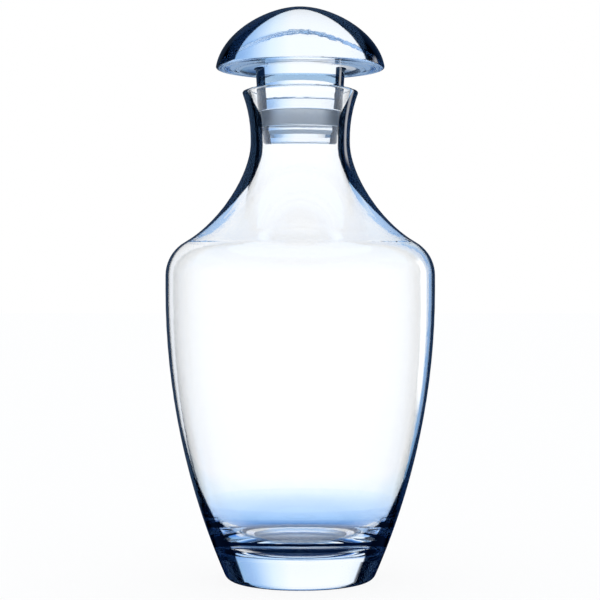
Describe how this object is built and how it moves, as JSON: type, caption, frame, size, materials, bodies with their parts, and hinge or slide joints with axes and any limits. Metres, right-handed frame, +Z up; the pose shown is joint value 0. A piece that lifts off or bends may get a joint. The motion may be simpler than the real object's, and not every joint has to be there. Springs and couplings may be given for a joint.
{
  "type": "decanter",
  "caption": "Clear glass decanter with a heavy foot, rounded shoulder, flared neck and a lift-out mushroom stopper sealed by a soft ring.",
  "frame": {"origin": "centre of the foot's underside, on the plane that the foot stands on", "axes": "+Z up along the axis that every piece is turned about; X and Y are interchangeable"},
  "size_m": [0.1024, 0.1024, 0.2178],
  "materials": {
    "body_glass": "fire-polished, clear, smooth",
    "stopper_glass": "polished, clear, smooth",
    "seal": "satin translucent silicone"
  },
  "bodies": {
    "decanter": {"decanter_body": "body_glass"},
    "seal": {"seal_ring": "seal"},
    "stopper": {"stopper": "stopper_glass"}
  },
  "joints": [
    {"name": "stopper_lift", "type": "slide", "parent": "decanter", "child": "seal", "axis": [0, 0, 1], "range_m": [0, 0.06]},
    {"name": "stopper_twist", "type": "hinge", "parent": "seal", "child": "stopper", "pos_m": [0, 0, 0.175], "axis": [0, 0, 1], "continuous": true}
  ]
}
